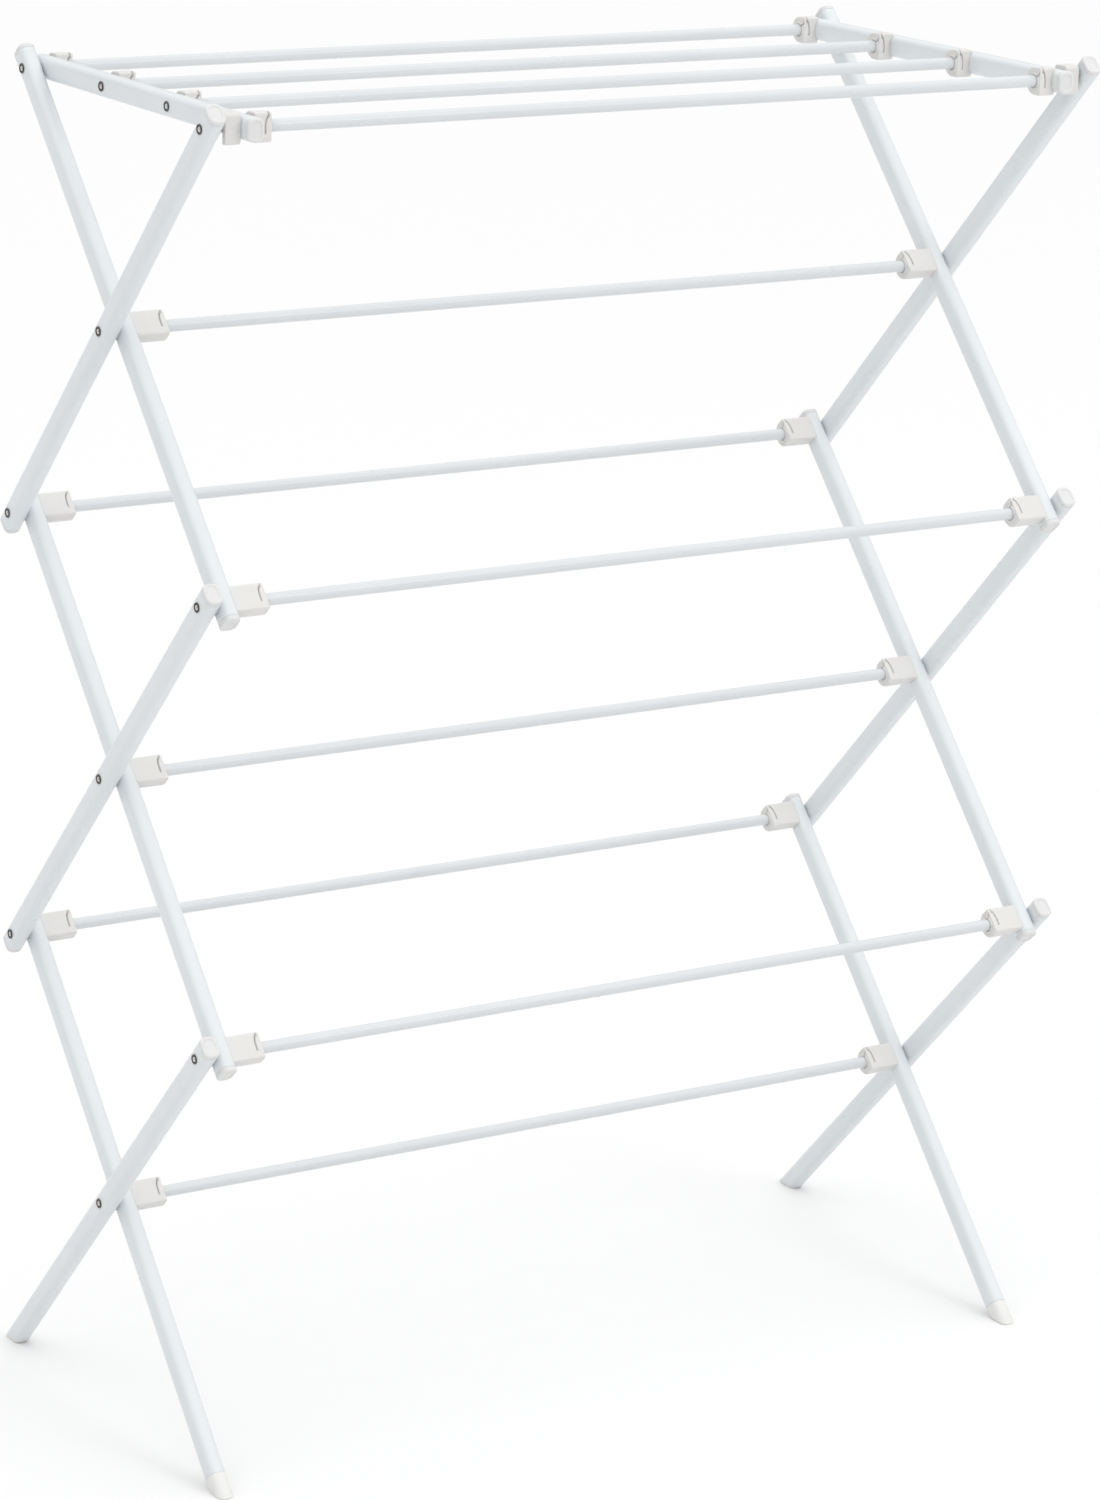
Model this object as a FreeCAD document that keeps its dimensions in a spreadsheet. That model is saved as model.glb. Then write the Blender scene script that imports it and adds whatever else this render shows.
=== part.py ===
import FreeCAD, Part
import os
import Sketcher

# A free-standing folding rack for drying clothes. On each side three pairs of crossing bars make a scissor
# lattice: in every pair one bar lies in the outer plane and one in the inner plane. Rods join the two sides at
# the pivots, held in plastic clips, and a level shelf of rods turns on the top back pivots and hooks over a pin
# at the top front ones.
#
# Millimetres. X runs along the rods, -Y is the front, +Z is up. The origin is on the floor under the middle.

SIZES = [
    ("rack_width", 750, "over the outer faces of the outer bars"),
    ("pivot_depth", 318, "between the front and the back pivots, rack open"),
    ("cell_rise", 166.7, "height from one row of pivots to the next"),
    ("lower_cross_height", 174, "lowest crossing above the floor"),
    ("tube_deep", 17, "bar section in its plane of swing"),
    ("tube_wide", 13, "bar section along X"),
    ("tube_corner", 5, "outer corner radius of the bar section"),
    ("tube_wall", 0.8, "steel wall of the bars and rails"),
    ("bar_gap", 0.7, "between two planes of bars"),
    ("bar_overhang", 17, "from an end pivot to the face of the cap"),
    ("rod_diameter", 9, "hanging rods"),
    ("rod_wall", 0.6, "steel wall of the rods"),
    ("rod_grip", 15, "depth of a rod in a long clip"),
    ("shelf_rod_grip", 7, "depth of a rod in a shelf clip"),
    ("shelf_steps", 3, "equal steps between the shelf's rods"),
    ("shelf_front_overhang", 18, "from the front shelf rod to the face of the cap"),
    ("shelf_back_overhang", 12, "from the back shelf rod to the face of the cap"),
    ("clip_length", 25.3, "long clip, from the bar's face to the nose"),
    ("clip_half_height", 10.5, "clip above and below the rod, and its round back"),
    ("clip_front", 7.5, "flat front of the clip, from the rod's axis"),
    ("clip_corner", 1.8, "rounding of the clip's front corners"),
    ("clip_edge", 0.8, "rounding of the clip's nose edge"),
    ("saddle_depth", 2.5, "how far a clip reaches round its bar"),
    ("slit_width", 0.9, "slits of the clip's nose"),
    ("slit_depth", 2, "depth of those slits"),
    ("slit_from_nose", 5.7, "front slit, from the nose's end"),
    ("slit_length", 11, "front slit, along the bar"),
    ("rivet_shank", 4.8, "diameter of a rivet's shank"),
    ("rivet_head", 7.4, "diameter of a rivet's head"),
    ("rivet_head_thick", 1, "thickness of a rivet's head"),
    ("rivet_bore", 3.2, "diameter of the hollow in a rivet's head"),
    ("rivet_bore_depth", 8, "depth of that hollow"),
    ("running_gap", 0.05, "radial clearance of a turning rivet or rod"),
    ("head_play", 0.1, "between a rivet's head and the bar that turns under it"),
    ("washer_diameter", 11, "washers between the bars"),
    ("pin_diameter", 5, "latch pins"),
    ("pin_short_of_rail", 1.4, "from a latch pin's tip to the rail"),
    ("cap_thick", 4, "visible length of an end cap"),
    ("cap_insert", 8, "plug of an end cap inside its tube"),
    ("rail_back_insert", 3, "plug of the cap at the back of a rail"),
    ("cap_rim", 2.3, "raised rim round an end cap's face"),
    ("cap_recess", 0.5, "depth of the face within that rim"),
    ("cap_edge", 1.4, "rounding of an end cap's edge"),
    ("foot_short_side", 6, "front foot, along its short side"),
    ("foot_rim", 2, "height of the rim under a back leg"),
    ("foot_insert", 15, "plug of a foot inside its leg"),
    ("hook_front", 8, "front of the hook, from the pin's axis"),
    ("hook_back", 7, "back of the hook's roof, from the pin's axis"),
    ("hook_half_height", 11, "hook above and below the pin's axis"),
    ("hook_thick", 12, "hook along X"),
    ("hook_corner", 3, "rounding of the hook's outer corners"),
    ("hook_gap", 0.5, "between the hook and the pin"),
]

doc = FreeCAD.newDocument("drying_rack")
sheet = doc.addObject("Spreadsheet::Sheet", "sizes")
for row, (alias, number, meaning) in enumerate(SIZES, start=1):
    sheet.set(f"A{row}", alias)
    sheet.set(f"B{row}", str(number))
    sheet.setAlias(f"B{row}", alias)
    sheet.set(f"C{row}", meaning)
doc.recompute()

# Places and lengths worked out from those sizes, as expressions on the sheet.
HALF_LINK = "sqrt((sizes.pivot_depth / 2)^2 + sizes.cell_rise^2)"
LEAN = "atan2(sizes.pivot_depth / 2; sizes.cell_rise)"
LEANS_BACK = f"-{LEAN}"
LEANS_FORWARD = LEAN
HALF_WIDE = "sizes.tube_wide / 2"
LAYER = "(sizes.tube_wide + sizes.bar_gap)"
OUTER_X = f"(sizes.rack_width / 2 - {HALF_WIDE})"
INNER_X = f"({OUTER_X} - {LAYER})"
RAIL_X = f"({INNER_X} - {LAYER})"
NOSE_X = f"({INNER_X} - {HALF_WIDE} - sizes.clip_length)"
ROD_END_X = f"({NOSE_X} + sizes.rod_grip)"
SHELF_ROD_END_X = f"({NOSE_X} + sizes.shelf_rod_grip)"
SHELF_CLIP_LENGTH = f"({RAIL_X} - {HALF_WIDE} - {NOSE_X})"
BACK_Y = "(sizes.pivot_depth / 2)"
FRONT_Y = "(-sizes.pivot_depth / 2)"
TUBE_END = "(sizes.bar_overhang - sizes.cap_thick)"
RIVET_HOLE = "sizes.rivet_shank"
TURNING_HOLE = "(sizes.rivet_shank + 2 * sizes.running_gap)"
PIN_HOLE = "sizes.pin_diameter"
FORWARD = "90"
BACKWARD = "-90"


def height(steps):
    """Height of a row of pivots, counted in steps from the lowest crossing."""
    return f"(sizes.lower_cross_height + {steps} * sizes.cell_rise)"


PIVOTS = {
    "lower_cross": ("0", height(0)),
    "lower_back": (BACK_Y, height(1)),
    "lower_front": (FRONT_Y, height(1)),
    "middle_cross": ("0", height(2)),
    "upper_back": (BACK_Y, height(3)),
    "upper_front": (FRONT_Y, height(3)),
    "upper_cross": ("0", height(4)),
    "top_back": (BACK_Y, height(5)),
    "top_front": (FRONT_Y, height(5)),
}


# ---- helpers -------------------------------------------------------------------------------------

def value(expression):
    """The number that an expression on the sheet gives."""
    return float(getattr(sheet.evalExpression(expression), "Value", sheet.evalExpression(expression)))


def turned(angle):
    """Expression of a rotation about X."""
    return f"create(<<rotation>>; create(<<vector>>; 1; 0; 0); {angle})"


def vector(x, y, z):
    """Expression of a vector."""
    return f"create(<<vector>>; {x}; {y}; {z})"


def place(piece, x, y, z, turn="0"):
    """Bind a piece's place and its turn about X."""
    piece.setExpression("Placement", f"create(<<placement>>; {vector(x, y, z)}; {turned(turn)})")


def new_body(label):
    """An empty body."""
    body = doc.addObject("PartDesign::Body", label)
    body.Label = label
    return body


def new_sketch(body, plane, name, offset=None):
    """A sketch on one of the body's own origin planes, moved along that plane's normal by offset."""
    origin_plane = next(feature for feature in body.Origin.OriginFeatures if feature.Role == plane)
    sketch = body.newObject("Sketcher::SketchObject", f"{body.Name}_{name}")
    sketch.AttachmentSupport = [(origin_plane, "")]
    sketch.MapMode = "FlatFace"
    if offset:
        sketch.setExpression("AttachmentOffset.Base.z", offset)
    return sketch


def dimension(sketch, name, kind, where, size):
    """A named dimension bound to an expression."""
    index = sketch.addConstraint(Sketcher.Constraint(kind, *where, value(size)))
    sketch.renameConstraint(index, name)
    sketch.setExpression(f"Constraints.{name}", size)


def rounded_rectangle(sketch, name, wide, deep, corner):
    """A rounded rectangle centred on the sketch's origin, wide along its x and deep along its y."""
    right, top, radius = value(wide) / 2, value(deep) / 2, value(corner)
    x, y = right - radius, top - radius
    point = FreeCAD.Vector
    ends = [((-x, top), (x, top)), ((right, y), (right, -y)),
            ((x, -top), (-x, -top)), ((-right, -y), (-right, y))]
    lines = [sketch.addGeometry(Part.LineSegment(point(*a, 0), point(*b, 0))) for a, b in ends]
    arcs = []
    for start, (cx, cy) in ((0, (x, y)), (-90, (x, -y)), (180, (-x, -y)), (90, (-x, y))):
        circle = Part.Circle(point(cx, cy, 0), point(0, 0, 1), radius)
        first, last = FreeCAD.Units.Quantity(start, "deg"), FreeCAD.Units.Quantity(start + 90, "deg")
        arcs.append(sketch.addGeometry(Part.ArcOfCircle(circle, first.getValueAs("rad").Value,
                                                        last.getValueAs("rad").Value)))
    for step in range(4):
        sketch.addConstraint(Sketcher.Constraint("Tangent", lines[step], 2, arcs[step], 2))
        sketch.addConstraint(Sketcher.Constraint("Tangent", arcs[step], 1, lines[(step + 1) % 4], 1))
    sketch.addConstraint(Sketcher.Constraint("Symmetric", lines[0], 1, lines[0], 2, -2))
    sketch.addConstraint(Sketcher.Constraint("Symmetric", lines[3], 1, lines[3], 2, -1))
    sketch.addConstraint(Sketcher.Constraint("Vertical", lines[1]))
    sketch.addConstraint(Sketcher.Constraint("Horizontal", lines[2]))
    for arc in arcs[1:]:
        sketch.addConstraint(Sketcher.Constraint("Equal", arcs[0], arc))
    dimension(sketch, f"{name}_corner", "Radius", (arcs[0],), corner)
    dimension(sketch, f"{name}_wide", "DistanceX", (lines[3], 1, lines[1], 1), wide)
    dimension(sketch, f"{name}_deep", "DistanceY", (lines[2], 1, lines[0], 2), deep)


def tube_outline(sketch, inset="0"):
    """The bar section's outline, smaller by an inset on every side."""
    rounded_rectangle(sketch, "outline" if inset == "0" else "inner", f"sizes.tube_wide - 2 * ({inset})",
                      f"sizes.tube_deep - 2 * ({inset})", f"sizes.tube_corner - ({inset})")


def extrude(body, kind, sketch, length, other_length=None, backwards=False):
    """A pad or a pocket of the sketch, along its normal and, if asked, the other way too."""
    feature = body.newObject(f"PartDesign::{kind}", f"{sketch.Name}_{kind.lower()}")
    feature.Profile = sketch
    feature.Reversed = backwards
    if other_length:
        feature.SideType = "Two sides"
        feature.setExpression("Length2", other_length)
    feature.setExpression("Length", length)
    return feature


def cylinder(body, kind, name, diameter, start, length, y="0", z="0"):
    """A round boss (Additive) or hole (Subtractive) along X, from x = start towards +X."""
    feature = body.newObject(f"PartDesign::{kind}Cylinder", f"{body.Name}_{name}")
    feature.setExpression("Radius", f"({diameter}) / 2")
    feature.setExpression("Height", length)
    along_x = "create(<<rotation>>; create(<<vector>>; 0; 1; 0); 90)"
    feature.setExpression("Placement", f"create(<<placement>>; {vector(start, y, z)}; {along_x})")
    return feature


def cut_box(body, name, corner, size, turn="0"):
    """Cut a box out of the body. Its corner is given in a frame turned about X, and so is the box."""
    feature = body.newObject("PartDesign::SubtractiveBox", f"{body.Name}_{name}")
    for side, length in zip(("Length", "Width", "Height"), size):
        feature.setExpression(side, length)
    where = f"{turned(turn)} * {vector(*corner)}"
    feature.setExpression("Placement", f"create(<<placement>>; {where}; {turned(turn)})")
    return feature


def round_edges(body, name, radius, chosen):
    """Fillet the edges of the body's last feature whose every corner passes the test."""
    doc.recompute()
    base = body.Tip
    edges = [f"Edge{number}" for number, edge in enumerate(base.Shape.Edges, start=1)
             if all(chosen(vertex.Point) for vertex in edge.Vertexes)]
    feature = body.newObject("PartDesign::Fillet", f"{body.Name}_{name}")
    feature.Base = (base, edges)
    feature.setExpression("Radius", radius)
    return feature


def copy_at(piece, name, x, y, z, turn="0"):
    """The same piece again in another place."""
    link = doc.addObject("App::Link", name)
    link.LinkedObject = piece
    place(link, x, y, z, turn)
    return link


def set_out(piece, x):
    """The piece moved out to x on the right-hand side, as a new object whose origin is still mid-width."""
    place(piece, x, "0", "0")
    moved = doc.addObject("Part::Compound", f"{piece.Name}_set_out")
    moved.Links = [piece]
    return moved


def mirrored(piece):
    """The piece's mirror image on the other side of the rack."""
    image = doc.addObject("Part::Mirroring", f"{piece.Name}_mirrored")
    image.Source = piece
    image.Normal = FreeCAD.Vector(1, 0, 0)
    return image


nodes = []


def node(piece):
    """Keep a finished piece for export."""
    nodes.append(piece)
    return piece


def group(label, pieces):
    """One node made of several separate pieces."""
    compound = doc.addObject("Part::Compound", label)
    compound.Label = label
    compound.Links = pieces
    return node(compound)


# ---- tubes ---------------------------------------------------------------------------------------

def tube(label, upper, lower, holes):
    """A steel tube along its own Z, from -lower to +upper, with holes along X given as (height, diameter)."""
    body = new_body(label)
    section = new_sketch(body, "XY_Plane", "section")
    tube_outline(section)
    tube_outline(section, "sizes.tube_wall")
    extrude(body, "Pad", section, upper, lower)
    for number, (at, diameter) in enumerate(holes, start=1):
        cylinder(body, "Subtractive", f"hole_{number}", diameter, "-sizes.tube_wide", "2 * sizes.tube_wide", z=at)
    return node(body)


def cut_below(body, turn, level):
    """Cut a leg or its foot along the level plane this high above the floor; the leg is turned by turn."""
    reach = "(4 * sizes.tube_deep)"
    low = f"-sizes.lower_cross_height + {level} - {reach}"
    corner = (f"-{reach} / 2", f"-{HALF_LINK} - {reach}", low)
    cut_box(body, "floor_cut", corner, (reach, f"2 * {HALF_LINK} + 2 * {reach}", reach), f"-({turn})")


FULL_REACH = f"({HALF_LINK} + {TUBE_END})"
LEG_AXIS = f"(sizes.lower_cross_height / cos({LEAN}))"
SECTION_DROP = f"(sizes.tube_deep / 2 * tan({LEAN}))"
FRONT_SEAM = f"({LEG_AXIS} - {SECTION_DROP} - sizes.foot_short_side)"
PAST_FLOOR = f"({LEG_AXIS} + 2 * {SECTION_DROP})"

# label, plane, crossing, lean, and the holes at the upper end, the crossing and the lower end
BARS = [
    ("upper_inner_bar", INNER_X, "upper_cross", LEANS_BACK, (TURNING_HOLE, RIVET_HOLE, RIVET_HOLE)),
    ("upper_outer_bar", OUTER_X, "upper_cross", LEANS_FORWARD, (PIN_HOLE, TURNING_HOLE, TURNING_HOLE)),
    ("middle_inner_bar", INNER_X, "middle_cross", LEANS_BACK, (RIVET_HOLE, RIVET_HOLE, RIVET_HOLE)),
    ("middle_outer_bar", OUTER_X, "middle_cross", LEANS_FORWARD, (TURNING_HOLE, TURNING_HOLE, TURNING_HOLE)),
]
LEGS = [
    ("front_leg", INNER_X, LEANS_BACK, (RIVET_HOLE, TURNING_HOLE), FRONT_SEAM),
    ("back_leg", OUTER_X, LEANS_FORWARD, (TURNING_HOLE, TURNING_HOLE), PAST_FLOOR),
]
SIDES = (("left", "-"), ("right", ""))

for side, sign in SIDES:
    for label, plane_x, crossing, lean, diameters in BARS:
        heights = (HALF_LINK, "0", f"-{HALF_LINK}")
        bar = tube(f"{label}_{side}", FULL_REACH, FULL_REACH, zip(heights, diameters))
        place(bar, sign + plane_x, *PIVOTS[crossing], lean)
    for label, plane_x, lean, diameters, lower in LEGS:
        leg = tube(f"{label}_{side}", FULL_REACH, lower, zip((HALF_LINK, "0"), diameters))
        if lower == PAST_FLOOR:
            cut_below(leg, lean, "sizes.foot_rim")
        place(leg, sign + plane_x, *PIVOTS["lower_cross"], lean)

# The rails run forward from the top back pivots.
SHELF_STEP = "(sizes.pivot_depth / sizes.shelf_steps)"
SHELF_STEPS = range(round(value("sizes.shelf_steps")) + 1)
for side, sign in SIDES:
    holes = [("0", TURNING_HOLE)]
    holes += [(f"{step} * {SHELF_STEP}", RIVET_HOLE) for step in SHELF_STEPS[1:]]
    rail = tube(f"shelf_rail_{side}", "sizes.pivot_depth + sizes.shelf_front_overhang - sizes.cap_thick",
                "sizes.shelf_back_overhang - sizes.cap_thick", holes)
    place(rail, sign + RAIL_X, *PIVOTS["top_back"], FORWARD)


# ---- rods ----------------------------------------------------------------------------------------

def rod(label, y, z, end_x):
    """A thin steel tube across the rack, ending end_x from the middle on each side."""
    body = new_body(label)
    section = new_sketch(body, "YZ_Plane", "section")
    bore = "sizes.rod_diameter - 2 * sizes.rod_wall"
    for name, diameter in (("outside", "sizes.rod_diameter"), ("inside", bore)):
        circle = Part.Circle(FreeCAD.Vector(0, 0, 0), FreeCAD.Vector(0, 0, 1), value(diameter) / 2)
        ring = section.addGeometry(circle)
        section.addConstraint(Sketcher.Constraint("Coincident", ring, 3, -1, 1))
        dimension(section, name, "Diameter", (ring,), diameter)
    extrude(body, "Pad", section, end_x, end_x)
    place(body, "0", y, z)
    return node(body)


CROSS_RODS = ["lower_cross", "lower_back", "lower_front", "middle_cross", "upper_back", "upper_front",
              "upper_cross"]
for pivot in CROSS_RODS:
    rod(f"{pivot}_rod", *PIVOTS[pivot], ROD_END_X)
SHELF_ROWS = [f"({BACK_Y} - {step} * {SHELF_STEP})" for step in SHELF_STEPS]
TOP_Z = PIVOTS["top_back"][1]
for number, row_y in enumerate(SHELF_ROWS, start=1):
    rod(f"shelf_rod_{number}", row_y, TOP_Z, SHELF_ROD_END_X)


# ---- clips ---------------------------------------------------------------------------------------

def clip_outline(sketch):
    """A D: half a circle at the back, on the rod's axis, and a flat front with rounded corners."""
    half, front, corner = (value(f"sizes.{name}") for name in ("clip_half_height", "clip_front", "clip_corner"))
    point = FreeCAD.Vector
    axis = point(0, 0, 1)
    quarter = FreeCAD.Units.Quantity(90, "deg").getValueAs("rad").Value
    back = sketch.addGeometry(Part.ArcOfCircle(Part.Circle(point(0, 0, 0), axis, half), -quarter, quarter))
    top = sketch.addGeometry(Part.LineSegment(point(0, half, 0), point(corner - front, half, 0)))
    upper = Part.Circle(point(corner - front, half - corner, 0), axis, corner)
    upper_corner = sketch.addGeometry(Part.ArcOfCircle(upper, quarter, 2 * quarter))
    flat = sketch.addGeometry(Part.LineSegment(point(-front, half - corner, 0),
                                               point(-front, corner - half, 0)))
    lower = Part.Circle(point(corner - front, corner - half, 0), axis, corner)
    lower_corner = sketch.addGeometry(Part.ArcOfCircle(lower, 2 * quarter, 3 * quarter))
    bottom = sketch.addGeometry(Part.LineSegment(point(corner - front, -half, 0), point(0, -half, 0)))
    joins = [(back, 2, top, 1), (top, 2, upper_corner, 1), (upper_corner, 2, flat, 1),
             (flat, 2, lower_corner, 1), (lower_corner, 2, bottom, 1), (bottom, 2, back, 1)]
    for join in joins:
        sketch.addConstraint(Sketcher.Constraint("Tangent", *join))
    sketch.addConstraint(Sketcher.Constraint("Coincident", back, 3, -1, 1))
    sketch.addConstraint(Sketcher.Constraint("Horizontal", top))
    sketch.addConstraint(Sketcher.Constraint("Equal", upper_corner, lower_corner))
    dimension(sketch, "back_radius", "Radius", (back,), "sizes.clip_half_height")
    dimension(sketch, "corner_radius", "Radius", (upper_corner,), "sizes.clip_corner")
    dimension(sketch, "front", "DistanceX", (flat, 1, -1, 1), "sizes.clip_front")


def clip(name, bar_plane, length, grip, clearance):
    """A plastic clip between a bar and a rod, its nose towards -X. Its own x = 0 is the middle of the bar."""
    body = new_body(name)
    outline = new_sketch(body, "YZ_Plane", "outline", f"sizes.saddle_depth - {HALF_WIDE}")
    clip_outline(outline)
    extrude(body, "Pad", outline, f"sizes.saddle_depth + {length}", backwards=True)
    nose = f"(-{HALF_WIDE} - {length})"
    nose_x = value(nose)
    round_edges(body, "nose_edge", "sizes.clip_edge", lambda corner: abs(corner.x - nose_x) < 1e-6)
    saddle = new_sketch(body, bar_plane, "saddle")
    tube_outline(saddle)
    across = "2 * sizes.clip_half_height"
    extrude(body, "Pocket", saddle, across, across)
    half, front = "sizes.clip_half_height", "sizes.clip_front"
    slit, deep = "sizes.slit_width", "sizes.slit_depth"
    groove_x = f"{nose} + sizes.slit_from_nose"
    cut_box(body, "front_slit", (groove_x, f"-{front} - {deep}", "-sizes.slit_length / 2"),
            (slit, f"2 * {deep}", "sizes.slit_length"))
    cut_box(body, "top_slit", (f"{groove_x} - 2 * {deep}", f"-{front} - {deep}", f"{half} - {deep}"),
            (slit, f"3 * {deep}", f"2 * {deep}"))
    cut_box(body, "nose_slit", (f"{nose} - {deep}", f"-{slit} / 2", "0"),
            (f"2 * {deep}", slit, f"2 * {half}"), "45")
    cut_box(body, "nose_notch", (f"{nose} - {deep}", f"-{slit} / 2", f"-{half} + {deep}"),
            (f"2 * {deep}", slit, half))
    cylinder(body, "Subtractive", "rod_hole", f"sizes.rod_diameter + 2 * {clearance}", nose, grip)
    cylinder(body, "Subtractive", "rivet_hole", f"sizes.rivet_shank + 2 * {clearance}", nose, length)
    return body


LONG = ("XY_Plane", "sizes.clip_length", "sizes.rod_grip")
SHORT = ("XZ_Plane", SHELF_CLIP_LENGTH, "sizes.shelf_rod_grip")
fixed_clip = set_out(clip("clip", *LONG, "0"), INNER_X)
turning_clip = set_out(clip("turning_clip", *LONG, "sizes.running_gap"), INNER_X)
shelf_clip = set_out(clip("shelf_clip", *SHORT, "0"), RAIL_X)
shelf_turning_clip = set_out(clip("shelf_turning_clip", *SHORT, "sizes.running_gap"), RAIL_X)
clip_mirrors = {piece.Name: mirrored(piece)
                for piece in (fixed_clip, turning_clip, shelf_clip, shelf_turning_clip)}


def both_sides(piece, image, name, y, z, turn="0"):
    """A piece and its mirror image on one pivot row."""
    return [copy_at(piece, f"{name}_right_piece", "0", y, z, turn),
            copy_at(image, f"{name}_left_piece", "0", y, z, turn)]


for pivot in CROSS_RODS:
    kind = turning_clip if pivot == "lower_cross" else fixed_clip
    label = f"{pivot}_clips"
    pair = group(label, [kind, clip_mirrors[kind.Name]])
    place(pair, "0", *PIVOTS[pivot], LEANS_BACK)

shelf_clips = []
for number, row_y in enumerate(SHELF_ROWS, start=1):
    kind = shelf_turning_clip if number == 1 else shelf_clip
    shelf_clips += both_sides(kind, clip_mirrors[kind.Name], f"shelf_clip_{number}", row_y, TOP_Z)
group("shelf_clips", shelf_clips)


# ---- rivets, pins and washers --------------------------------------------------------------------

def rivet(name, head_x, tip_x, shank="sizes.rivet_shank"):
    """A rivet along X: head outwards, its underside at head_x, its tip at tip_x, a blind hollow in the head."""
    body = new_body(name)
    cylinder(body, "Additive", "shank", shank, tip_x, f"{head_x} - {tip_x}")
    cylinder(body, "Additive", "head", "sizes.rivet_head", head_x, "sizes.rivet_head_thick")
    face_x = value(f"{head_x} + sizes.rivet_head_thick")
    round_edges(body, "head_edge", "sizes.rivet_head_thick / 2",
                lambda corner: abs(corner.x - face_x) < 1e-6)
    hollow_x = f"{head_x} + sizes.rivet_head_thick - sizes.rivet_bore_depth"
    cylinder(body, "Subtractive", "hollow", "sizes.rivet_bore", hollow_x, "2 * sizes.rivet_bore_depth")
    return body


OUTER_FACE_X = f"({OUTER_X} + {HALF_WIDE})"
INNER_FACE_X = f"({INNER_X} + {HALF_WIDE})"
RAIL_FACE_X = f"({RAIL_X} + {HALF_WIDE})"
PIN_TIP_X = f"({RAIL_FACE_X} + sizes.pin_short_of_rail)"

bar_rivet = rivet("bar_rivet", f"({OUTER_FACE_X} + sizes.head_play)", ROD_END_X)
shelf_pivot_rivet = rivet("shelf_pivot_rivet", f"({INNER_FACE_X} + sizes.head_play)", SHELF_ROD_END_X)
rail_rivet = rivet("rail_rivet", RAIL_FACE_X, SHELF_ROD_END_X)
latch_pin = rivet("latch_pin", OUTER_FACE_X, PIN_TIP_X, "sizes.pin_diameter")

RIVET_GROUPS = {
    "lower_cross_rivets": ["lower_cross"],
    "lower_frame_rivets": ["lower_back"],
    "middle_frame_rivets": ["lower_front", "middle_cross", "upper_back"],
    "upper_frame_rivets": ["upper_front", "upper_cross"],
}
bar_rivet_mirror = mirrored(bar_rivet)
for label, pivots in RIVET_GROUPS.items():
    pieces = []
    for pivot in pivots:
        pieces += both_sides(bar_rivet, bar_rivet_mirror, f"{pivot}_rivet", *PIVOTS[pivot])
    group(label, pieces)
shelf_pivot_rivets = group("shelf_pivot_rivets", [shelf_pivot_rivet, mirrored(shelf_pivot_rivet)])
place(shelf_pivot_rivets, "0", *PIVOTS["top_back"])
rail_rivet_mirror = mirrored(rail_rivet)
pieces = []
for number, row_y in enumerate(SHELF_ROWS[1:], start=2):
    pieces += both_sides(rail_rivet, rail_rivet_mirror, f"rail_rivet_{number}", row_y, TOP_Z)
group("shelf_rail_rivets", pieces)
for side, piece in (("left", mirrored(latch_pin)), ("right", latch_pin)):
    pin = group(f"latch_pin_{side}", [piece])
    place(pin, "0", *PIVOTS["top_front"])


def washer(name, face_x):
    """A thin plastic washer standing off face_x towards +X, a little thinner than the gap it fills."""
    body = new_body(name)
    thickness = "(sizes.bar_gap - sizes.head_play)"
    cylinder(body, "Additive", "disc", "sizes.washer_diameter", face_x, thickness)
    cylinder(body, "Subtractive", "hole", TURNING_HOLE, f"{face_x} - sizes.bar_gap", "3 * sizes.bar_gap")
    return body


bar_washer = washer("bar_washer", INNER_FACE_X)
shelf_washer = washer("shelf_washer", f"({RAIL_FACE_X} + sizes.head_play)")
bar_washer_mirror = mirrored(bar_washer)
WASHER_GROUPS = {
    "lower_washers": ["lower_cross", "lower_back"],
    "middle_washers": ["lower_front", "middle_cross", "upper_back"],
    "upper_washers": ["upper_front", "upper_cross"],
}
for label, pivots in WASHER_GROUPS.items():
    pieces = []
    for pivot in pivots:
        pieces += both_sides(bar_washer, bar_washer_mirror, f"{pivot}_washer", *PIVOTS[pivot])
    if label == "upper_washers":
        pieces += both_sides(shelf_washer, mirrored(shelf_washer), "top_back_washer", *PIVOTS["top_back"])
    group(label, pieces)


# ---- end caps and feet ---------------------------------------------------------------------------

def end_cap(name, insert):
    """A plug for a tube's end. Its own z = 0 is the tube's end and +Z points out of the tube."""
    body = new_body(name)
    outline = new_sketch(body, "XY_Plane", "outline")
    tube_outline(outline)
    extrude(body, "Pad", outline, "sizes.cap_thick")
    top = value("sizes.cap_thick")
    round_edges(body, "edge", "sizes.cap_edge", lambda corner: abs(corner.z - top) < 1e-6)
    face = new_sketch(body, "XY_Plane", "face", "sizes.cap_thick")
    tube_outline(face, "sizes.cap_rim")
    extrude(body, "Pocket", face, "sizes.cap_recess")
    plug = new_sketch(body, "XY_Plane", "plug")
    tube_outline(plug, "sizes.tube_wall")
    extrude(body, "Pad", plug, insert, backwards=True)
    return body


bar_cap = end_cap("bar_cap", "sizes.cap_insert")
rail_back_cap = end_cap("rail_back_cap", "sizes.rail_back_insert")


def bar_end(name, x, pivot, lean, end):
    """A cap on the upper (end 1) or lower (end -1) end of a bar whose crossing is at that pivot."""
    y, z = PIVOTS[pivot]
    reach = f"({end} * {FULL_REACH})"
    turn = lean if end == 1 else f"{lean} + 180 deg"
    return copy_at(bar_cap, name, x, f"{y} - {reach} * sin({lean})", f"{z} + {reach} * cos({lean})", turn)


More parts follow.
